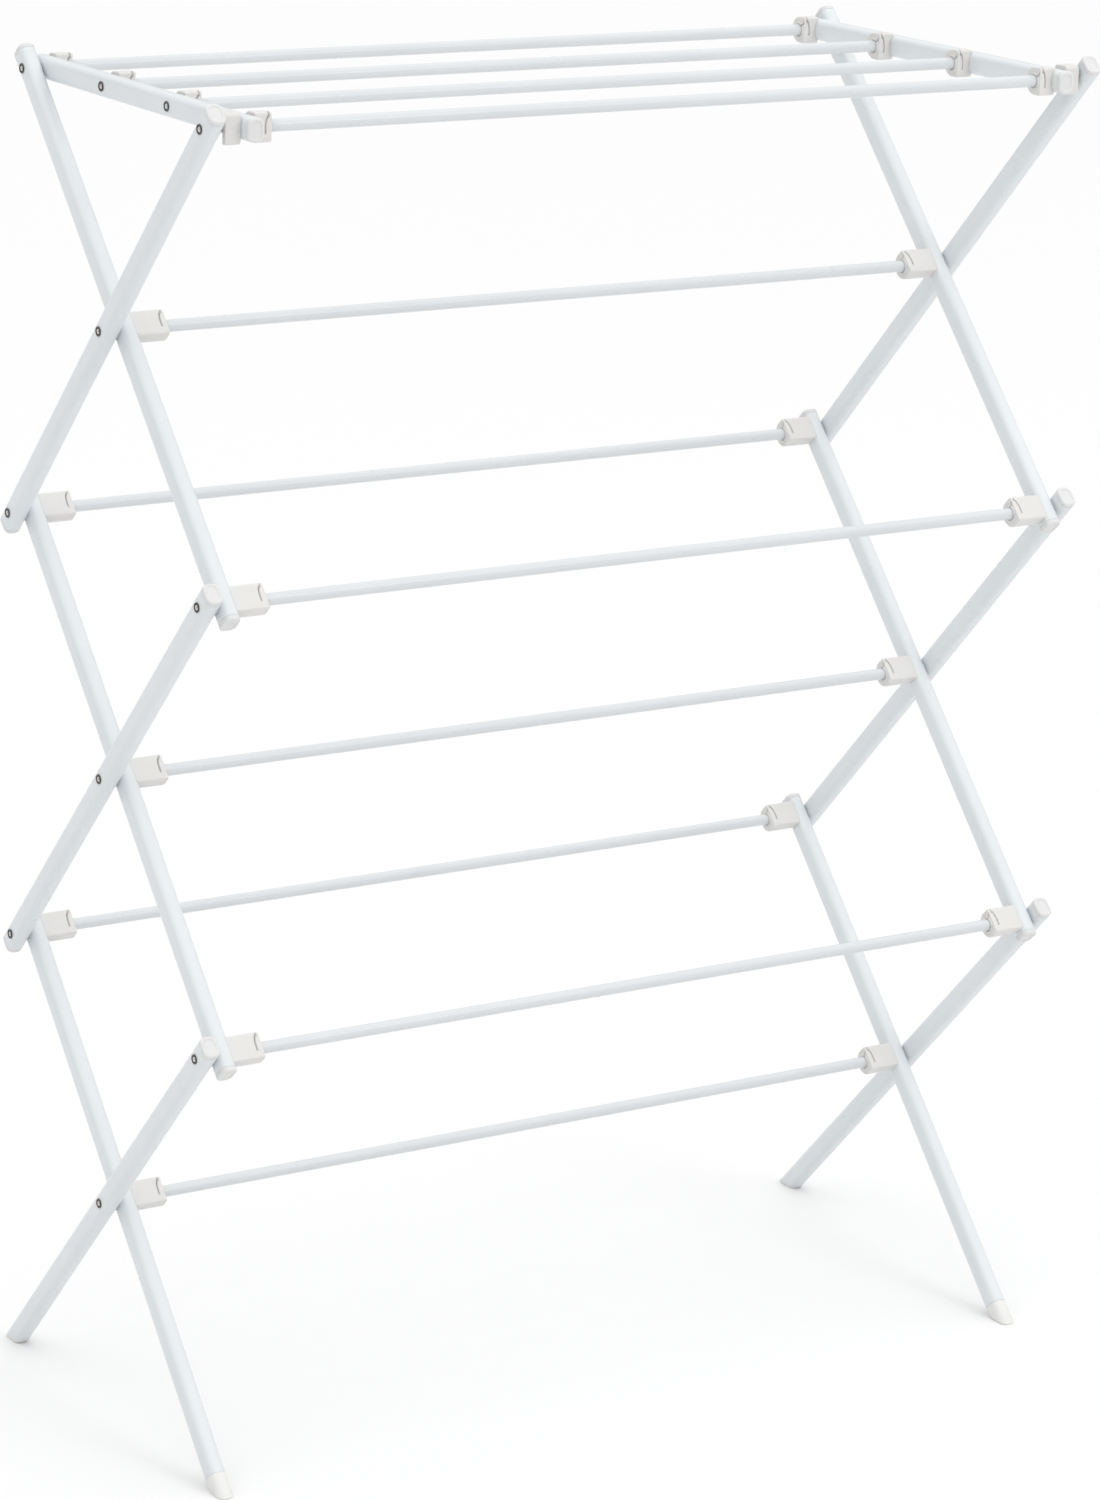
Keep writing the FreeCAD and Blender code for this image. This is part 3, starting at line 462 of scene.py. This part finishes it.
def eyelet_surface(top_x):
    """The rolled lip down in a rivet's hollow: a circle carried round the X axis."""
    tilt = np.linspace(0, 2 * math.pi, 14, endpoint=False)
    roll = np.stack([EYELET + EYELET_ROLL * np.cos(tilt), top_x - EYELET_DEPTH + EYELET_ROLL * np.sin(tilt)], axis=1)
    return round_surface(roll, around=36, cyclic=True)


def washer_surface(face_x, thick):
    """A flat ring about the X axis with slightly rounded rims."""
    soft = WASHER_EDGE
    return round_surface([(WASHER_HOLE, face_x), (WASHER - soft, face_x), (WASHER, face_x + soft),
                          (WASHER, face_x + thick - soft), (WASHER - soft, face_x + thick),
                          (WASHER_HOLE, face_x + thick)], around=40, cyclic=True)


def rod_surface(half_length):
    """A rod across the rack: a circle carried along X, with softened ends."""
    places = np.linspace(ROD_EDGE - half_length, half_length - ROD_EDGE, 40)
    return round_surface([(0.0, -half_length), (ROD_RADIUS - ROD_EDGE, -half_length),
                          *[(ROD_RADIUS, place) for place in places],
                          (ROD_RADIUS - ROD_EDGE, half_length), (0.0, half_length)], around=40)


def hook_surface(face_x):
    """The latch hook on the rail's outer face, in (y, z) about the pin: a block with rounded corners, less a notch open
    below and behind whose inner corner is an arc about the pin. Its edges are rounded by moving the outline along its
    own inward normals, and each end is one flat face."""
    corner, tip = HOOK_CORNER, HOOK_TIP
    outline = np.concatenate([
        arc((corner - HOOK_FRONT, HOOK_HALF - corner), corner, 90, 180, 8),
        arc((corner - HOOK_FRONT, corner - HOOK_HALF), corner, 180, 270, 8),
        arc((-HOOK_NOTCH - tip, tip - HOOK_HALF), tip, -90, 0, 5),
        arc((0, 0), HOOK_NOTCH, 180, 90, 12),
        arc((HOOK_BACK - tip, HOOK_NOTCH + tip), tip, -90, 0, 5),
        arc((HOOK_BACK - corner, HOOK_HALF - corner), corner, 0, 90, 8),
    ])
    tangent = np.roll(outline, -1, axis=0) - np.roll(outline, 1, axis=0)
    tangent /= np.linalg.norm(tangent, axis=1)[:, None]
    inward = np.stack([-tangent[:, 1], tangent[:, 0]], axis=1)
    inset, rise_of_edge = np.concatenate([arc((HOOK_EDGE, HOOK_EDGE), HOOK_EDGE, 270, 180, 5),
                                          arc((HOOK_EDGE, HOOK_THICK - HOOK_EDGE), HOOK_EDGE, 180, 90, 5)]).T
    rings = rings_along_x(face_x + rise_of_edge[:, None], outline + inset[:, None, None] * inward)
    vertices, (sides,) = ring_surface(rings, cyclic=True)
    first = np.arange(len(outline))
    sides = sides[:-len(outline)]
    return vertices, [sides, first[None, ::-1], first[None] + len(sides)]


# ---- materials ------------------------------------------------------------------------------------------------------


def node_group(name, inputs, outputs):
    """An empty shader node group with its sockets, and its input and output nodes."""
    group = bpy.data.node_groups.new(name, "ShaderNodeTree")
    for label, kind, default in inputs:
        group.interface.new_socket(label, in_out="INPUT", socket_type=kind).default_value = default
    for label, kind in outputs:
        group.interface.new_socket(label, in_out="OUTPUT", socket_type=kind)
    return group, group.nodes.new("NodeGroupInput"), group.nodes.new("NodeGroupOutput")


def noise(tree, where, scale, detail=2.0, roughness=0.5):
    """A noise texture read at the given coordinates."""
    node = tree.nodes.new("ShaderNodeTexNoise")
    node.inputs["Detail"].default_value = detail
    node.inputs["Roughness"].default_value = roughness
    tree.links.new(where, node.inputs["Vector"])
    if isinstance(scale, float):
        node.inputs["Scale"].default_value = scale
    else:
        tree.links.new(scale, node.inputs["Scale"])
    return node.outputs["Fac"]


def spread(tree, source, low, high, from_low=0.3, from_high=0.7):
    """Map a noise's middle range to low..high."""
    node = tree.nodes.new("ShaderNodeMapRange")
    tree.links.new(source, node.inputs["Value"])
    for socket, value in (("From Min", from_low), ("From Max", from_high), ("To Min", low), ("To Max", high)):
        if isinstance(value, float):
            node.inputs[socket].default_value = value
        else:
            tree.links.new(value, node.inputs[socket])
    return node.outputs["Result"]


def blend_colour(tree, share, first, second):
    """Mix two colours; first and second are sockets."""
    node = tree.nodes.new("ShaderNodeMix")
    node.data_type = "RGBA"
    tree.links.new(share, node.inputs["Factor"])
    tree.links.new(first, node.inputs["A"])
    tree.links.new(second, node.inputs["B"])
    return node.outputs["Result"]


def make_surface_group():
    """Soft patches of a second colour, uneven gloss, and two scales of relief: orange peel or moulding grain."""
    group, given, result = node_group(
        "coated_surface",
        [("Colour", "NodeSocketColor", (1, 1, 1, 1)), ("Patch Colour", "NodeSocketColor", (1, 1, 1, 1)),
         ("Gloss Low", "NodeSocketFloat", 0.3), ("Gloss High", "NodeSocketFloat", 0.4),
         ("Grain Scale", "NodeSocketFloat", 700.0), ("Grain Height", "NodeSocketFloat", 0.00003),
         ("Fine Scale", "NodeSocketFloat", 3000.0), ("Fine Height", "NodeSocketFloat", 0.00001)],
        [("Colour", "NodeSocketColor"), ("Roughness", "NodeSocketFloat"), ("Normal", "NodeSocketVector")])
    where = group.nodes.new("ShaderNodeTexCoord").outputs["Object"]
    patches = spread(group, noise(group, where, 9.0, 4.0, 0.6), 0.0, 1.0)
    group.links.new(blend_colour(group, patches, given.outputs["Colour"], given.outputs["Patch Colour"]),
                    result.inputs["Colour"])
    gloss = spread(group, noise(group, where, 45.0, 5.0, 0.65), given.outputs["Gloss Low"],
                   given.outputs["Gloss High"])
    group.links.new(gloss, result.inputs["Roughness"])
    normal = None
    for scale, height, detail in (("Grain Scale", "Grain Height", 1.5), ("Fine Scale", "Fine Height", 2.0)):
        bump = group.nodes.new("ShaderNodeBump")
        bump.inputs["Strength"].default_value = 1.0
        group.links.new(given.outputs[height], bump.inputs["Distance"])
        group.links.new(noise(group, where, given.outputs[scale], detail), bump.inputs["Height"])
        if normal:
            group.links.new(normal, bump.inputs["Normal"])
        normal = bump.outputs["Normal"]
    group.links.new(normal, result.inputs["Normal"])
    return group


coated_surface = make_surface_group()


def coated(name, colour, patch, gloss, grain, fine, metallic=0.0, coat=0.0, subsurface=0.0):
    """A painted, plated or moulded finish built on the shared surface group."""
    material = bpy.data.materials.new(name)
    material.use_nodes = True
    tree = material.node_tree
    shader = tree.nodes["Principled BSDF"]
    effect = tree.nodes.new("ShaderNodeGroup")
    effect.node_tree = coated_surface
    effect.inputs["Colour"].default_value = (*colour, 1)
    effect.inputs["Patch Colour"].default_value = (*patch, 1)
    effect.inputs["Gloss Low"].default_value, effect.inputs["Gloss High"].default_value = gloss
    effect.inputs["Grain Scale"].default_value, effect.inputs["Grain Height"].default_value = grain
    effect.inputs["Fine Scale"].default_value, effect.inputs["Fine Height"].default_value = fine
    tree.links.new(effect.outputs["Colour"], shader.inputs["Base Color"])
    tree.links.new(effect.outputs["Roughness"], shader.inputs["Roughness"])
    tree.links.new(effect.outputs["Normal"], shader.inputs["Normal"])
    shader.inputs["Metallic"].default_value = metallic
    shader.inputs["Coat Weight"].default_value = coat
    shader.inputs["Coat Roughness"].default_value = 0.15
    if subsurface:
        shader.inputs["Subsurface Weight"].default_value = subsurface
        shader.inputs["Subsurface Radius"].default_value = (1.0, 0.9, 0.8)
        shader.inputs["Subsurface Scale"].default_value = 0.002
    return material


powder_coat = coated("white_powder_coat", (0.715, 0.745, 0.762), (0.68, 0.715, 0.735), (0.27, 0.40),
                     (650.0, 0.00005), (2600.0, 0.000012), coat=0.15)
rod_paint = coated("white_rod_paint", (0.655, 0.68, 0.695), (0.625, 0.653, 0.67), (0.26, 0.38),
                   (800.0, 0.00004), (3000.0, 0.00001), coat=0.15)
clip_plastic = coated("white_clip_plastic", (0.70, 0.693, 0.678), (0.67, 0.66, 0.642), (0.38, 0.50),
                      (900.0, 0.00002), (4200.0, 0.000012), subsurface=0.15)
cap_plastic = coated("white_cap_plastic", (0.70, 0.705, 0.70), (0.67, 0.675, 0.668), (0.36, 0.48),
                     (900.0, 0.00002), (4200.0, 0.000012), subsurface=0.12)
foot_plastic = coated("foot_plastic", (0.77, 0.767, 0.752), (0.735, 0.73, 0.71), (0.42, 0.60),
                      (700.0, 0.00003), (3600.0, 0.00002), subsurface=0.12)
dark_steel = coated("darkened_rivet_steel", (0.13, 0.125, 0.12), (0.08, 0.074, 0.068), (0.25, 0.5),
                    (1500.0, 0.00002), (6000.0, 0.00001), metallic=1.0)
# Steel for the rolled lips down in the rivet hollows, much lighter than the heads' dark steel: a painted highlight, a
# lit copy of the rivet's one steel that draws the bright crescent in each hollow.
eyelet_steel_painted_highlight = coated("eyelet_steel_with_painted_highlight", (0.78, 0.77, 0.75), (0.60, 0.58, 0.55), (0.2, 0.4),
                      (1500.0, 0.00002), (6000.0, 0.00001), metallic=1.0)
washer_nylon = coated("washer_nylon", (0.70, 0.71, 0.72), (0.64, 0.65, 0.66), (0.45, 0.6),
                      (900.0, 0.00002), (4000.0, 0.00001))

# ---- bars, rails and legs -------------------------------------------------------------------------------------------
SIDES = (("left", -1), ("right", 1))
UP = HALF_LINK + BAR_END
SEAM = -(LEG_AXIS - TUBE_DEEP / 2 * math.tan(LEAN) - FOOT_SHORT_SIDE)
# Each bar's plane, the crossing in its middle, its turn about X and the bodies its left and right ones ride on.
BARS = {
    "upper_inner_bar": (INNER_X, "upper_cross", -LEAN, ("upper_frame", "upper_frame")),
    "upper_outer_bar": (OUTER_X, "upper_cross", LEAN, ("left_upper_outer", "right_upper_outer")),
    "middle_inner_bar": (INNER_X, "middle_cross", -LEAN, ("middle_frame", "middle_frame")),
    "middle_outer_bar": (OUTER_X, "middle_cross", LEAN, ("left_middle_outer", "right_middle_outer")),
    "front_leg": (INNER_X, "lower_cross", -LEAN, ("front_leg_frame", "front_leg_frame")),
    "back_leg": (OUTER_X, "lower_cross", LEAN, ("left_back_leg", "right_back_leg")),
}
lattice_bar = tube_surface(-UP, UP, (HALF_LINK, 0.0, -HALF_LINK))
front_leg_bar = tube_surface(SEAM, UP, (HALF_LINK, 0.0))
back_leg_bar = tube_surface(-LEG_AXIS, UP, (HALF_LINK, 0.0), (LEAN, FOOT_RIM))
for label, (plane_x, row, turn, bodies) in BARS.items():
    shape = {"front_leg": front_leg_bar, "back_leg": back_leg_bar}.get(label, lattice_bar)
    for (side, sign), body in zip(SIDES, bodies):
        placed = moved(shape, *PIVOTS[row], sign * plane_x, turn)
        piece(f"{label}_{side}_tube", [placed], powder_coat, body, f"{label}_{side}")

rail_y, rail_z = PIVOTS["top_back"]
rail_bar = tube_surface(rail_y - RAIL_BACK, rail_y - RAIL_FRONT, [rail_y - row[0] for row in SHELF_ROWS])
for side, sign in SIDES:
    placed = moved(rail_bar, rail_y, rail_z, sign * RAIL_X, math.pi / 2)
    piece(f"shelf_rail_{side}_tube", [placed], powder_coat, "shelf", f"shelf_rail_{side}")

# ---- rods -----------------------------------------------------------------------------------------------------------
ROD_BODY = {"lower_cross": "lower_axle", "lower_back": "front_leg_frame", "lower_front": "middle_frame",
            "middle_cross": "middle_frame", "upper_back": "middle_frame", "upper_front": "upper_frame",
            "upper_cross": "upper_frame"}
long_rod = rod_surface(ROD_END)
for row, body in ROD_BODY.items():
    piece(f"{row}_rod_tube", [moved(long_rod, *PIVOTS[row])], rod_paint, body, f"{row}_rod")
shelf_rod = rod_surface(SHELF_ROD_END)
for number, place in enumerate(SHELF_ROWS, start=1):
    body = "shelf_axle" if number == 1 else "shelf"
    piece(f"shelf_rod_{number}_tube", [moved(shelf_rod, *place)], rod_paint, body, f"shelf_rod_{number}")

# ---- clips on the rods ----------------------------------------------------------------------------------------------
long_clip = clip_surface(INNER_X, 0)
CLIP_BODY = {**ROD_BODY, "lower_cross": "front_leg_frame"}
for row, body in CLIP_BODY.items():
    piece(f"{row}_clip_pair", pair(long_clip, PIVOTS[row], -LEAN), clip_plastic, body, f"{row}_clips")
short_clip = clip_surface(RAIL_X, 1)
piece("shelf_clip_set", [clip for place in SHELF_ROWS for clip in pair(short_clip, place)], clip_plastic, "shelf",
      "shelf_clips")

# ---- rivets, pins and washers in the pivots -------------------------------------------------------------------------
# Each node's head, its rod's end, its body and its rows of pivots.
RIVETS = {
    "lower_cross_rivets": (HEAD_TOP_X, ROD_END, "lower_axle", [PIVOTS["lower_cross"]]),
    "lower_frame_rivets": (HEAD_TOP_X, ROD_END, "front_leg_frame", [PIVOTS["lower_back"]]),
    "middle_frame_rivets": (HEAD_TOP_X, ROD_END, "middle_frame",
                            [PIVOTS["lower_front"], PIVOTS["middle_cross"], PIVOTS["upper_back"]]),
    "upper_frame_rivets": (HEAD_TOP_X, ROD_END, "upper_frame", [PIVOTS["upper_front"], PIVOTS["upper_cross"]]),
    "shelf_pivot_rivets": (PIVOT_HEAD_TOP_X, SHELF_ROD_END, "shelf_axle", [PIVOTS["top_back"]]),
    "shelf_rail_rivets": (RAIL_HEAD_TOP_X, SHELF_ROD_END, "shelf", SHELF_ROWS[1:]),
}
for node, (top_x, tip_x, body, places) in RIVETS.items():
    rivet = head_surface(top_x, SHANK, tip_x)
    eyelet = eyelet_surface(top_x)
    piece(f"{node}_heads", [half for place in places for half in pair(rivet, place)], dark_steel, body, node)
    # The eyelets carry the painted highlight steel; the heads carry the plain dark steel.
    piece(f"{node}_eyelets", [half for place in places for half in pair(eyelet, place)], eyelet_steel_painted_highlight, body, node)

# The pins' eyelets also carry the painted highlight steel.
PIN_PARTS = {"turned": (head_surface(PIN_HEAD_TOP_X, PIN, PIN_TIP_X), dark_steel),
             "eyelet": (eyelet_surface(PIN_HEAD_TOP_X), eyelet_steel_painted_highlight)}
for part, (shape, finish) in PIN_PARTS.items():
    on_right, on_left = pair(shape, PIVOTS["top_front"])
    for side, placed in (("left", on_left), ("right", on_right)):
        piece(f"latch_pin_{side}_{part}", [placed], finish, f"{side}_upper_outer", f"latch_pin_{side}")

inner_face = INNER_X + TUBE_WIDE / 2
rail_face = RAIL_X + TUBE_WIDE / 2
washer_thick = OUTER_X - INNER_X - TUBE_WIDE - WASHER_GAP
bar_washer = washer_surface(inner_face, washer_thick)
shelf_washer = washer_surface(rail_face + WASHER_GAP, washer_thick)
WASHERS = {
    "lower_washers": ("front_leg_frame", ("lower_cross", "lower_back")),
    "middle_washers": ("middle_frame", ("lower_front", "middle_cross", "upper_back")),
    "upper_washers": ("upper_frame", ("upper_front", "upper_cross")),
}
for node, (body, rows) in WASHERS.items():
    washers = [washer for row in rows for washer in pair(bar_washer, PIVOTS[row])]
    if node == "upper_washers":
        washers += pair(shelf_washer, PIVOTS["top_back"])
    piece(f"{node}_moulded", washers, washer_nylon, body, node)

# ---- caps, feet and hooks -------------------------------------------------------------------------------------------
end_cap = cap_surface(CAP_PLUG)


def capped(label, sign, ends=(1, -1)):
    """Caps on the chosen ends of a bar: 1 is its upper end and -1 its lower one."""
    plane_x, row, turn, _ = BARS[label]
    y, z = PIVOTS[row]
    return [moved(end_cap, y - end * UP * math.sin(turn), z + end * UP * math.cos(turn), sign * plane_x,
                  turn if end == 1 else turn + math.pi) for end in ends]


for label, body in (("upper_inner", "upper_frame"), ("middle_inner", "middle_frame")):
    caps = [cap for _, sign in SIDES for cap in capped(f"{label}_bar", sign)]
    piece(f"{label}_end_caps", caps, cap_plastic, body, f"{label}_bar_caps")
for side, sign in SIDES:
    for label in ("upper_outer", "middle_outer"):
        piece(f"{label}_end_caps_{side}", capped(f"{label}_bar", sign), cap_plastic, f"{side}_{label}",
              f"{label}_bar_caps_{side}")
    piece(f"back_leg_end_cap_{side}", capped("back_leg", sign, (1,)), cap_plastic, f"{side}_back_leg",
          f"back_leg_cap_{side}")
caps = [cap for _, sign in SIDES for cap in capped("front_leg", sign, (1,))]
piece("front_leg_end_caps", caps, cap_plastic, "front_leg_frame", "front_leg_caps")
short_cap = cap_surface(SHORT_CAP_PLUG)
rail_caps = [moved(cap, end_y, rail_z, sign * RAIL_X, turn) for _, sign in SIDES
             for cap, end_y, turn in ((end_cap, RAIL_FRONT, math.pi / 2), (short_cap, RAIL_BACK, -math.pi / 2))]
piece("shelf_rail_end_caps", rail_caps, cap_plastic, "shelf", "shelf_rail_caps")

front_foot = foot_surface(-LEAN, SEAM)
feet = [moved(front_foot, *PIVOTS["lower_cross"], sign * INNER_X, -LEAN) for _, sign in SIDES]
piece("front_feet_moulded", feet, foot_plastic, "front_leg_frame", "front_feet")
back_rim = rim_surface(LEAN)
for side, sign in SIDES:
    rim = moved(back_rim, *PIVOTS["lower_cross"], sign * OUTER_X, LEAN)
    piece(f"back_foot_{side}_moulded", [rim], foot_plastic, f"{side}_back_leg", f"back_foot_{side}")

piece("latch_hooks_moulded", pair(hook_surface(rail_face), PIVOTS["top_front"]), clip_plastic, "shelf", "latch_hooks")

# ---- floor, light and camera ----------------------------------------------------------------------------------------
FLOOR_REACH = 400.0
FLOOR_SHADE = 0.82
HORIZON_LIGHT = 0.40
ZENITH_LIGHT = 1.60
KEY_PLACE = (1.2, -3.0, 2.6)
KEY_SIZE = 1.5
KEY_POWER = 20.0
AZIMUTH = math.radians(-31.15)
ELEVATION = math.radians(15.98)
ROLL = math.radians(1.56)
CAMERA_PLACE = Vector((-1.772, -2.950, 1.295 + CROSS_HEIGHT))
LENS = 110.71
SENSOR = 36.0

scene = bpy.context.scene
scene.view_settings.view_transform = "Standard"
scene.view_settings.look = "None"

floor_paint = bpy.data.materials.new("studio_floor_paint")
floor_paint.use_nodes = True
floor_shader = floor_paint.node_tree.nodes["Principled BSDF"]
floor_shader.inputs["Base Color"].default_value = (FLOOR_SHADE, FLOOR_SHADE, FLOOR_SHADE, 1)
floor_shader.inputs["Roughness"].default_value = 0.9
floor_shader.inputs["Specular IOR Level"].default_value = 0.1
floor_mesh = bpy.data.meshes.new("studio_floor")
floor_mesh.from_pydata([(-FLOOR_REACH, -FLOOR_REACH, 0), (FLOOR_REACH, -FLOOR_REACH, 0), (FLOOR_REACH, FLOOR_REACH, 0),
                        (-FLOOR_REACH, FLOOR_REACH, 0)], [], [(0, 1, 2, 3)])
floor_mesh.materials.append(floor_paint)
floor = bpy.data.objects.new("studio_floor", floor_mesh)
scene.collection.objects.link(floor)

# The studio is bright overhead and darker near the horizon.
world = bpy.data.worlds.new("studio")
world.use_nodes = True
sky = world.node_tree
height = sky.nodes.new("ShaderNodeSeparateXYZ")
sky.links.new(sky.nodes.new("ShaderNodeTexCoord").outputs["Generated"], height.inputs["Vector"])
brightness = spread(sky, height.outputs["Z"], HORIZON_LIGHT, ZENITH_LIGHT, 0.0, 1.0)
sky.nodes["Background"].inputs["Color"].default_value = (1.0, 1.0, 1.0, 1)
sky.links.new(brightness, sky.nodes["Background"].inputs["Strength"])
scene.world = world

# A square soft light in front of the rack, aimed at its middle.
lamp = bpy.data.lights.new("key_softbox", "AREA")
lamp.shape = "SQUARE"
lamp.size = KEY_SIZE
lamp.energy = KEY_POWER
softbox = bpy.data.objects.new("key_softbox", lamp)
softbox.location = KEY_PLACE
aim = Vector((0.0, 0.0, CROSS_HEIGHT + 2.5 * rise))
softbox.rotation_euler = (aim - Vector(KEY_PLACE)).to_track_quat("-Z", "Y").to_euler()
scene.collection.objects.link(softbox)

# The camera looks down on the rack from the front left.
back = Vector((math.sin(AZIMUTH) * math.cos(ELEVATION), -math.cos(AZIMUTH) * math.cos(ELEVATION), math.sin(ELEVATION)))
right = (-back).cross(Vector((0, 0, 1))).normalized()
up = right.cross(-back)
tilted_right = math.cos(ROLL) * right + math.sin(ROLL) * up
tilted_up = math.cos(ROLL) * up - math.sin(ROLL) * right
camera_data = bpy.data.cameras.new("camera")
camera_data.sensor_fit = "VERTICAL"
camera_data.sensor_height = SENSOR
camera_data.sensor_width = SENSOR
camera_data.lens = LENS
camera = bpy.data.objects.new("camera", camera_data)
camera.matrix_world = (Matrix.Translation(CAMERA_PLACE)
                       @ Matrix((tilted_right, tilted_up, back)).transposed().to_4x4())
scene.collection.objects.link(camera)
scene.camera = camera
